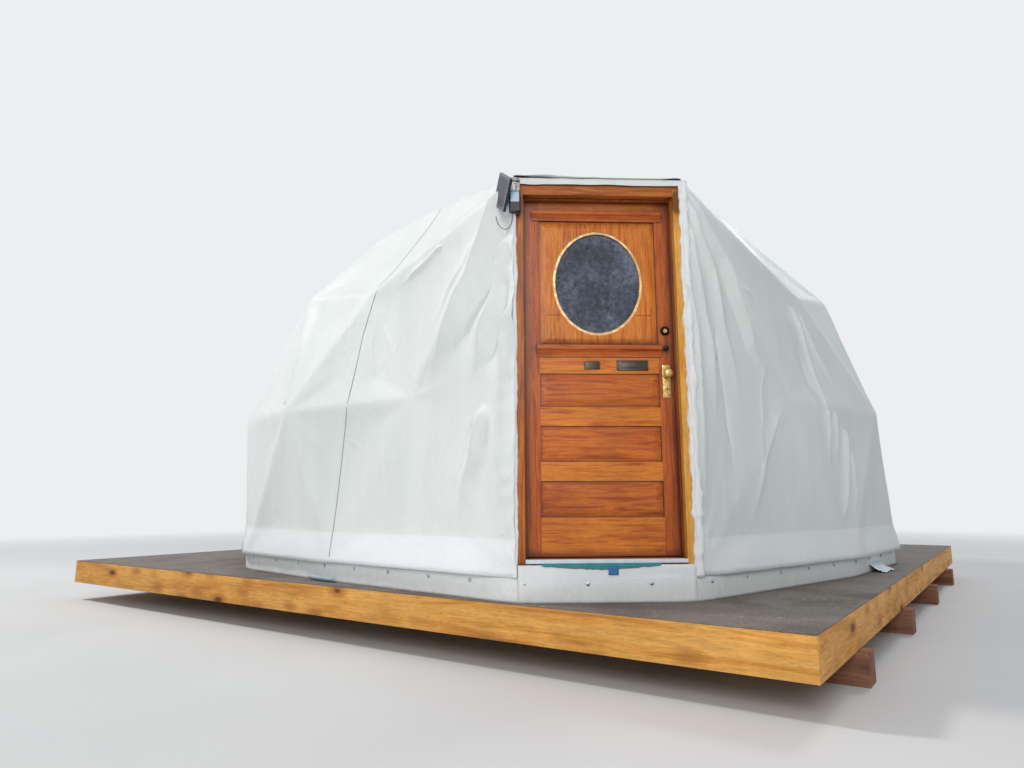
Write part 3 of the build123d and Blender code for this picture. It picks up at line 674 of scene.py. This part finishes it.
def foot_line():
    """The outer line of the cover's foot on the deck, from the door's right corner round to its left one."""
    corners = {}
    for name in ("skirt_left", "skirt_right"):
        mesh = nodes[name].data
        for polygon in mesh.polygons:
            if abs(polygon.normal.z) < 0.1 and polygon.normal.dot(polygon.center - heart) > 0.5:
                for i in polygon.vertices:
                    place = mesh.vertices[i].co
                    corners[round(place.x, 1), round(place.y, 1)] = Vector((place.x, place.y, 0))
    return sorted(corners.values(), key=lambda place: atan2(place.x, place.y) % tau)


def evenly(points, step):
    """Points along these runs, this far apart."""
    places = [points[0].copy()]
    for first, last in zip(points, points[1:]):
        count = max(1, round((last - first).length / step))
        places += [first.lerp(last, i / count) for i in range(1, count + 1)]
    return places


def softened(points, rounds):
    """The points, with each moved towards its neighbours; the ends stay."""
    for _ in range(rounds):
        inner = [(a + b * 2 + c) / 4 for a, b, c in zip(points, points[1:], points[2:])]
        points = [points[0], *inner, points[-1]]
    return points



def length_of(points):
    return sum((last - first).length for first, last in zip(points, points[1:]))


def runs(points):
    """The way along the line at each point, from the point before it to the one after."""
    return [after - before for before, after in zip([points[0], *points], [*points[1:], points[-1]])]


def outward(points):
    """The level way out of the line at each point."""
    ways = [Vector((run.y, -run.x, 0)).normalized() for run in runs(points)]
    return [way if way.dot(point) > 0 else -way for way, point in zip(ways, points)]


def make_skirt():
    """The strip that holds the cover down to the deck all round."""
    corners = foot_line()
    line = softened(evenly([*corners, corners[0]], foot_step), 10)
    ways = outward(line)
    profile = ((0, 0.007), (0.012, 0.006), (0.035, 0.005), (0.06, 0.004), (0.09, 0.004), (0.118, 0.005))

    def point_at(down, along):
        (level, out), (point, way) = down, along
        crumple = bump(point.x * 3, point.y * 3, level * 4) * 0.006 * (0.4 + 0.6 * level / 0.13)
        return point + way * (out + crumple) + up * (deck_top + 0.001 + level)

    downs = (*profile, (strip_height, 0.003))
    piece = make_sheet("foot_strip", white_strip, fabric, point_at, downs, list(zip(line, ways)))
    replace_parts(piece, "skirt_left", "skirt_right")
    return line, ways


def make_apron():
    """The strip under the door's threshold."""
    low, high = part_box("door_apron")

    def point_at(down, along):
        level = low.z + 0.001 + (high.z - 0.001 - low.z) * down
        x = low.x + (high.x - low.x) * along
        return Vector((x, low.y - 0.003 + 0.004 * bump(x * 5, 2, level * 6), level))

    piece = make_sheet("apron_strip", white_strip, fabric, point_at, shares(13), shares(40))
    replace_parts(piece, "door_apron")


def make_rim_boards():
    """Four boards round the deck, two that run through and two between them, with eased edges."""
    low, high = (corner.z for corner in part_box("deck_rim"))
    for number in range(4):
        length = 2 * deck_half if number % 2 == 0 else 2 * (deck_half - board)
        bm = bmesh.new()
        ops.create_cube(bm, size=1)
        ops.scale(bm, vec=(length - 0.0006, board, high - low), verts=bm.verts)
        long_edges = [e for e in bm.edges if abs(e.verts[0].co.x - e.verts[1].co.x) > 0.1]
        ops.subdivide_edges(bm, edges=long_edges, cuts=90)
        sharp = [e for e in bm.edges if e.calc_face_angle(0) > 1]
        ops.bevel(bm, geom=sharp, offset=0.004, segments=3, affect="EDGES", profile=0.5)
        for vertex in bm.verts:
            vertex.co.y -= abs(bump(vertex.co.x * 2.5, vertex.co.z * 5, number * 7)) * 0.0025
        piece = put(bm, f"rim_board_{number}", rim_board)
        turn = Matrix.Rotation(deck_turn + number * pi / 2, 4, "Z")
        piece.matrix_world = turn @ Matrix.Translation((0, board / 2 - deck_half, (low + high) / 2))
        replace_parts(piece, "deck_rim")


def join_rings(bm, rings):
    """A closed tube through rings of points."""
    rings = [[bm.verts.new(point) for point in ring] for ring in rings]
    for first, second in zip(rings, rings[1:]):
        for i in range(len(first)):
            j = (i + 1) % len(first)
            bm.faces.new((first[i], first[j], second[j], second[i]))
    bm.faces.new(rings[0][::-1])
    bm.faces.new(rings[-1])


def make_edge_roll(word, side, thick):
    """The cover's edge, rolled and fixed down the side of the door's frame, crumpled along its length."""
    foot, top = deck_top + 0.125, head_top + 0.004
    rings = []
    for share in shares(189):
        level = foot + (top - foot) * share
        swell = 1 + 0.34 * bump(side * 3, 1, level * 9) + 0.22 * bump(side * 3, 5, level * 30)
        drift = 0.008 * bump(side * 8, 2, level * 5)
        x = door_x + side * (frame_half + thick * 0.75 + drift)
        ring = []
        for across, out in round_steps(20):
            reach = thick * swell * (1 + 0.3 * bump(across * 2, out * 2 + side, level * 16))
            ring.append(Vector((x + across * reach, front_y - thick * 0.05 - out * reach * 0.62, level)))
        rings.append(ring)
    bm = bmesh.new()
    join_rings(bm, rings)
    return put(bm, f"edge_roll_{word}", white_strip)


def make_head_flap():
    """The cover's edge over the door's header, folded down its front."""
    half = frame_half + 0.018
    profile = ((0.12, 0.036), (0.06, 0.022), (0.01, 0.011), (-0.006, 0.008))
    profile += ((-0.013, -0.004), (-0.013, -0.016), (-0.012, -0.024), (-0.013, -0.03))

    def point_at(down, along):
        depth, rise = down
        x = door_x - half + 2 * half * along
        crumple = bump(x * 11, 3, rise * 20)
        droop = 0.006 * bump(x * 7, 8, 0) if rise < -0.01 else 0
        return Vector((x, front_y + depth - 0.002 * crumple, head_top + rise + 0.0015 * crumple + droop))

    return make_sheet("head_flap", white_cover, fabric, point_at, profile, shares(120))


def front_rays(line):
    """Rays from in front of the dome, through points along this line of x and height above the deck."""
    places = softened(evenly([Vector((x, 0, height)) / 100 for x, height in line], 0.02), 12)
    return [(place + forward * ray_start + up * deck_top, -forward) for place in places]


def side_rays(azimuth):
    """Rays towards the dome's heart, from the deck up to near its top, this far round from the door."""
    level = Vector((sin(azimuth), -cos(azimuth), 0))
    rays = []
    lowest, highest = -12, 80
    for share in shares(159):
        rise = radians(lowest + (highest - lowest) * share)
        way = level * cos(rise) + up * sin(rise)
        rays.append((heart + way * ray_start, -way))
    return rays


def make_seam(name, rays):
    """A welded seam: a narrow raised line where these rays meet the cover, and on from there to the crown,
    coloured dark grey-green as painted shade along it.
    """
    hits = [cover_tree.ray_cast(*ray)[:2] for ray in rays]
    hits = [(place, normal) for place, normal in hits if place and place.z > skirt_top]
    last = (hits[-1][0] - heart).normalized()
    for share in shares(crown_steps)[1:]:
        way = last.slerp(up, crown_end * share)
        hits.append(cover_tree.ray_cast(heart + way * ray_start, -way)[:2])
    path = softened([place for place, _ in hits], 2)
    rings = []
    for point, run, (_, normal) in zip(path, runs(path), hits):
        across = run.normalized().cross(normal).normalized() * seam_thick
        over = normal * seam_thick * 0.8
        rings.append([point + across * aside + over * out for aside, out in round_steps(7)])
    bm = bmesh.new()
    join_rings(bm, rings)
    return put(bm, name, seam_with_painted_shade)


foot_points, foot_ways = make_skirt()
make_apron()
make_rim_boards()
edge_rolls = [make_edge_roll("left", -1, 0.012), make_edge_roll("right", 1, 0.026)]
head_flap = make_head_flap()
seams = [make_seam("seam_0", front_rays(seam_line))]
seams += [make_seam(f"seam_{i}", side_rays(radians(turn))) for i, turn in enumerate((70, 130, 190, 250), 1)]


def turned_mesh(bm, profile, place, axis, sides=16):
    """A turned piece: a profile in millimetres of distance along the axis and radius, spun round it."""
    turn = axis.to_track_quat("Z", "Y").to_matrix()
    rings = []
    for along, radius in profile:
        spots = [Vector((radius * x, radius * y, along)) / 1000 for x, y in round_steps(sides)]
        rings.append([place + turn @ spot for spot in spots])
    join_rings(bm, rings)


def slab(bm, low, high, ease, segments=3):
    """A block between two corners, with rounded edges."""
    low, high = Vector(low), Vector(high)
    made = ops.create_cube(bm, size=1)["verts"]
    ops.scale(bm, vec=high - low, verts=made)
    ops.translate(bm, vec=(low + high) / 2, verts=made)
    edges = list({edge for vertex in made for edge in vertex.link_edges})
    ops.bevel(bm, geom=edges, offset=ease, segments=segments, affect="EDGES", profile=0.5)


def foot_number(place):
    """The number of the foot line's point that is nearest to this place."""
    return min(range(len(foot_points)), key=lambda i: (foot_points[i] - Vector(place)).length)


def make_screws():
    """Pan-head screws on washers, that hold the strip to the deck's edge."""
    profile = ((0, 10.5), (1.2, 10.5), (1.8, 9.8), (1.8, 6.2))
    profile += ((2.2, 6), (3.6, 5.6), (4.6, 4.4), (5, 2.4), (5, 0.6))
    bm = bmesh.new()
    length = -length_of(foot_points[: foot_number(first_screw) + 1])
    for here, after, way in zip(foot_points, foot_points[1:], foot_ways):
        before, length = length, length + (after - here).length
        if floor(before / screw_gap) != floor(length / screw_gap):
            turned_mesh(bm, profile, here + way * 0.0085 + up * (deck_top + screw_level), way)
    put(bm, "foot_screws", zinc)


def make_drip_bar():
    """A pale bar under the threshold, over the end of the apron."""
    low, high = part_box("door_threshold")
    bm = bmesh.new()
    slab(bm, (low.x, low.y - 0.0163, high.z - 0.023), (high.x, low.y - 0.0003, high.z - 0.001), 0.004, 4)
    put(bm, "drip_bar", pale_bar)


def make_tarp_edge():
    """A torn edge of blue-green sheeting that hangs from under the threshold, and the tape that holds it."""
    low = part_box("door_threshold")[0]
    tarp_wide, tarp_high = 0.62, 0.026
    tape_wide, tape_high = 0.052, 0.044

    def tarp_at(down, along):
        x = low.x + 0.08 + tarp_wide * along
        drop = 0.012 + 0.018 * sin(pi * along) + 0.007 * bump(x * 28, 4, 0)
        return Vector((x, front_y - 0.019 - 0.002 * bump(x * 16, down * 6, 3), low.z + 0.008 - drop * down))

    def tape_at(down, along):
        x = -0.128 + tape_wide * along + 0.0015 * sin(down * 18.4)
        y = front_y - 0.0225 - 0.0015 * bump(along * 3.2, down * 3.2, 3)
        return Vector((x, y, low.z - 0.006 - tape_high * down))

    tarp = make_sheet("tarp_edge", teal_sheet, 0.0012, tarp_at, shares(6), shares(90))
    tape = make_sheet("tape_patch", blue_tape, 0.001, tape_at, shares(8), shares(8))


def foot_stretch(middle, length):
    """The points and ways out of the foot line near this place, over this length."""
    nearest, reach = foot_number(middle), round(length / 2 / foot_step)
    chosen = slice(nearest - reach, nearest + reach + 1)
    return foot_points[chosen], foot_ways[chosen]


def make_curl():
    """The loose lower edge of the strip, curled up on the deck at the left."""
    length, turn = 0.3, 5.2
    points, ways = foot_stretch((-1.77, -2.3, 0), length)

    def point_at(down, along):
        share, point, way = down
        radius = (0.02 - 0.009 * along) * (0.75 + 0.25 * sin(pi * share))
        spoke = way * cos(turn * along) + up * sin(turn * along)
        return point + way * 0.034 + up * (deck_top + 0.0215) - spoke * radius

    downs = zip(shares(len(points) - 1), points, ways)
    piece = make_sheet("strip_curl", grey_blue_sheet, 0.0015, point_at, downs, shares(14))


def make_scrap():
    """A crumpled end of pale sheeting that lies on the deck at the right."""
    length, width = 0.27, 0.13
    points, ways = foot_stretch((2.2, -2.12, 0), length)
    way = ways[len(ways) // 2]

    def point_at(point, along):
        spot = Vector((point.x * 16, point.y * 16, along * 4))
        lift = 0.05 * (1 - along) ** 2 + 0.016 * abs(bump(*spot)) + 0.006 * abs(bump(*(spot * 2.7)))
        ragged = 1 + 0.25 * bump(point.x * 9, point.y * 9, 4)
        return point + way * (0.012 + width * along * ragged * 0.8) + up * (deck_top + 0.002 + lift)

    piece = make_sheet("sheet_scrap", pale_sheet, 0.0012, point_at, evenly(points, 0.012), shares(21))


make_screws()
make_drip_bar()
make_tarp_edge()
make_curl()
make_scrap()

# Fittings of the door.
lock_x = 0.241
leaf_front = -3.4
leaf_middle = -3.378
plate_z = 1.59


def raised(bm, left, right, low, top, proud, ease):
    """A block on the door's face that stands this proud of it."""
    slab(bm, (left, leaf_front - proud, low), (right, leaf_front, top), ease)


def turned_on_face(bm, profile, x, z, sides, proud=0):
    """A turned piece on the door's face, or on what stands this proud of it."""
    turned_mesh(bm, profile, Vector((x, leaf_front - proud, z)), forward, sides)


def plate(bm, x, wide, high, rim, rim_proud, thick=0.003):
    """A plate on the door's face, with a raised rim and a screw at each end."""
    left, right, low, top = x - wide / 2, x + wide / 2, plate_z - high / 2, plate_z + high / 2
    raised(bm, left, right, low, top, thick, 0.0008)
    for level in ((low, low + rim), (top - rim, top)):
        raised(bm, left, right, *level, rim_proud, 0.0012)
    for side in ((left, left + rim), (right - rim, right)):
        raised(bm, *side, low, top, rim_proud, 0.0012)
    for screw in (left + rim + 0.006, right - rim - 0.006):
        turned_on_face(bm, ((0, 3.4), (1.2, 3.2), (1.8, 2.2), (2, 0.4)), screw, plate_z, 12, thick)


def on_door(bm, name, slot, material):
    piece = put(bm, name, material, "door")
    piece.modifiers.new("crisp", "EDGE_SPLIT").split_angle = radians(35)
    return piece


def make_plates():
    """The letter plate with its flap, and the number plate, which is blank."""
    bm = bmesh.new()
    plate(bm, 0.053, 0.172, 0.056, 0.008, 0.005)
    raised(bm, -0.003, 0.109, plate_z - 0.015, plate_z + 0.015, 0.0048, 0.0014)
    raised(bm, 0.031, 0.075, plate_z - 0.012, plate_z - 0.008, 0.0068, 0.0012)
    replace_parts(on_door(bm, "letter_plate", "black_metal", worn_bronze), "door_plates")
    bm = bmesh.new()
    plate(bm, -0.172, 0.084, 0.044, 0.004, 0.0046)
    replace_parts(on_door(bm, "number_plate", "black_metal", worn_bronze), "door_plates")


def make_handle():
    """A knob on its long plate, on each face of the leaf, with a keyhole below."""
    knob = ((0, 20), (3, 20.2), (5.5, 18), (7.5, 13), (11, 10.5), (22, 9.2), (29, 11), (32.5, 18), (37, 24))
    knob += ((42, 26.8), (47, 26.2), (51, 22.5), (54, 16), (55.6, 8), (56, 0.4))
    head = ((0, 3), (1, 2.8), (1.6, 1.8), (1.8, 0.4))
    hole = ((0, 4.2), (0.4, 4.2), (0.6, 3.6))
    low, high, knob_z, hole_z, rise = 1.41, 1.594, 1.543, 1.462, 0.0042
    brass, dark = bmesh.new(), bmesh.new()
    raised(brass, lock_x - 0.023, lock_x + 0.023, low, high, 0.003, 0.0012)
    raised(brass, lock_x - 0.017, lock_x + 0.017, low + 0.008, high - 0.008, rise, 0.001)
    turned_on_face(brass, knob, lock_x, knob_z, 28)
    for z in (low + 0.012, high - 0.01):
        turned_on_face(brass, head, lock_x, z, 12, rise)
    turned_on_face(dark, hole, lock_x, hole_z, 14, rise)
    raised(dark, lock_x - 0.0017, lock_x + 0.0017, hole_z - 0.014, hole_z, 0.0048, 0.0004)
    kinds = ((brass, "door_handle", "aged_brass", aged_brass), (dark, "keyhole", "black_metal", black_iron))
    for bm, *kind in kinds:
        copied = ops.duplicate(bm, geom=bm.verts[:] + bm.edges[:] + bm.faces[:])["geom"]
        for vertex in [item for item in copied if isinstance(item, bmesh.types.BMVert)]:
            vertex.co.y = 2 * leaf_middle - vertex.co.y
        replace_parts(on_door(bm, *kind), "handle_set")


def make_locks():
    """The deadbolt's ring with its cylinder, and the small knob under it."""
    ring = ((0, 25), (5, 25), (9, 23.2), (11.5, 20), (12, 17), (10.5, 15), (7, 14.2), (7, 0.4))
    core = ((6, 11.5), (9.2, 11.5), (10.2, 10.5), (10.2, 0.4))
    knob = ((0, 11), (2.5, 11), (4.5, 7.5), (10, 6), (14, 8.5), (17, 12.8), (19.5, 13.8), (21.5, 11))
    knob += ((22.2, 5), (22.3, 0.4))
    bolt_z, thumb_z = 1.787, 1.686
    dark, bright = bmesh.new(), bmesh.new()
    turned_on_face(dark, ring, lock_x, bolt_z, 28)
    turned_on_face(dark, knob, lock_x, thumb_z, 24)
    raised(dark, lock_x - 0.001, lock_x + 0.001, bolt_z - 0.006, bolt_z + 0.006, 0.0106, 0.0003)
    turned_on_face(bright, core, lock_x, bolt_z, 20)
    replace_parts(on_door(dark, "door_locks", "black_metal", black_iron), "lock_cylinders")
    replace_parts(on_door(bright, "lock_core", "aged_brass", aged_brass), "lock_cylinders")


def make_panel_joint():
    """The dark joint across the window panel, on either side of the glass."""
    bm = bmesh.new()
    y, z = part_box("window_panel")[0].y, 1.876
    for near, far in ((-0.424, -0.336), (0.076, 0.164)):
        slab(bm, (near, y - 0.0005, z - 0.0012), (far, y + 0.001, z + 0.0012), 0.0002)
    on_door(bm, "panel_joint", "oak", joint_wood)


def make_lamp_trim():
    """The lamp's pale lens, and the two fine lines round the solar panel's face."""
    low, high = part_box("lamp_body")
    bm = bmesh.new()
    slab(bm, (low.x + 0.006, low.y - 0.003, 2.478), (high.x - 0.006, low.y + 0.004, high.z - 0.006), 0.0025)
    put(bm, "lamp_lens", blue_plastic)
    turn, lean = radians(20), radians(10)
    facing = Vector((-cos(turn), -sin(turn), 0))
    down = Vector((sin(turn), -cos(turn), 0)) * sin(lean) - up * cos(lean)
    middle = Vector((door_x - frame_half - 0.066, front_y - 0.036, 2.543)) + facing * 0.016
    bm = bmesh.new()
    for half, wide in ((0.086, 0.0028), (0.077, 0.0014)):
        for edge in (-half, half):
            slab(bm, (edge - wide / 2, -half, -0.0006), (edge + wide / 2, half, 0.001), 0.0002)
            slab(bm, (-half, edge - wide / 2, -0.0006), (half, edge + wide / 2, 0.001), 0.0002)
    spin = Matrix.Rotation(radians(45), 4, "Z")
    axes = Matrix((down, facing.cross(down), facing)).transposed().to_4x4()
    ops.transform(bm, matrix=Matrix.Translation(middle) @ axes @ spin, verts=bm.verts)
    put(bm, "solar_trim", grey_plastic, smooth=False)


make_plates()
make_handle()
make_locks()
make_panel_joint()
make_lamp_trim()

# The lamp's cable, on the route that its solid has.
cable_route = (
    (-0.614, -3.518, 2.427),
    (-0.614, -3.518, 2.394),
    (-0.62, -3.509, 2.361),
    (-0.636, -3.49, 2.341),
    (-0.658, -3.468, 2.343),
    (-0.68, -3.448, 2.367),
    (-0.698, -3.426, 2.409),
    (-0.706, -3.413, 2.462),
    (-0.6982, -3.4346, 2.4945),
)
cord_thick = 0.004
curve = bpy.data.curves.new("lamp cord", "CURVE")
curve.dimensions = "3D"
curve.bevel_depth = cord_thick / 2
curve.bevel_resolution = 3
curve.resolution_u = 12
spline = curve.splines.new("NURBS")
spline.points.add(len(cable_route) - 1)
for point, place in zip(spline.points, cable_route):
    point.co = (*place, 1)
spline.order_u = 3
spline.use_endpoint_u = True
curve.materials.append(cable_plastic)
lamp_cord = shown("lamp_cord", curve)
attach(lamp_cord, "root")
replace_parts(lamp_cord, "lamp_cable")

# Floor, backdrop and light.
backdrop_colour = (0.84, 0.86, 0.88, 1)


def looked_at(near):
    """1 for what the camera sees straight, in a reflection or through glass."""
    rays = add(near, "LightPath").outputs
    either = reckoned("MAXIMUM", rays["Is Glossy Ray"], rays["Is Transmission Ray"])
    return reckoned("MAXIMUM", rays["Is Camera Ray"], either)


def make_floor():
    """A wide pale floor that keeps the shadow and fades into the backdrop far out."""
    bm = bmesh.new()
    ops.create_grid(bm, x_segments=2, y_segments=2, size=60)
    mesh = mesh_from(bm, "floor")
    material, place, shader = surface("pale floor", Roughness=0.9)
    join(shader, Base_Color=ramp(cloudy(place, 0.8, 3), (0.3, 0.72), (0.7, 0.76)))
    reach = add(place, "VectorMath", {0: place}, operation="LENGTH").outputs["Value"]
    share = reckoned("MULTIPLY", between(reach, 6.0, 16.0), looked_at(place))
    glow = add(place, "Emission", {"Color": backdrop_colour}).outputs[0]
    blend = add(place, "MixShader", {0: share, 1: shader.outputs[0], 2: glow}).outputs[0]
    join(material.node_tree.nodes["Material Output"], Surface=blend)
    mesh.materials.append(material)
    shown("floor", mesh)


def make_studio():
    """Bluish light from all round, behind a pale backdrop."""
    world = bpy.data.worlds.new("studio")
    bpy.context.scene.world = world
    world.use_nodes = True
    tree = world.node_tree
    tree.nodes.clear()
    backdrop = add(tree, "Background", {"Color": backdrop_colour, "Strength": 1.0})
    studio = add(tree, "Background", {"Color": (0.86, 0.92, 1.0, 1), "Strength": 0.38})
    parts = {0: looked_at(tree), 1: studio.outputs[0], 2: backdrop.outputs[0]}
    choice = add(tree, "MixShader", parts)
    add(tree, "OutputWorld", {"Surface": choice.outputs[0]})


def add_lamp(name, place, target, size, watts, colour=(1, 1, 1)):
    """A soft square lamp here, turned to the target."""
    light = bpy.data.lights.new(name, "AREA")
    light.energy = watts
    light.size = size
    light.color = colour
    lamp = shown(name, light)
    lamp.location = place
    lamp.rotation_euler = (Vector(target) - Vector(place)).to_track_quat("-Z", "Y").to_euler()


make_floor()
make_studio()
add_lamp("key", (-9.5, 0.0, 9.6), (0, 0, 1.2), 1.6, 730, (1.0, 0.98, 0.95))
add_lamp("side", (6.5, 2.5, 8.5), (1.5, -2.0, 1.2), 2.5, 250)
add_lamp("front", (-1.5, -10.5, 3.8), (0, -3.0, 1.2), 3.0, 230, (1.0, 0.99, 0.97))

bpy.context.scene.view_settings.view_transform = "Standard"
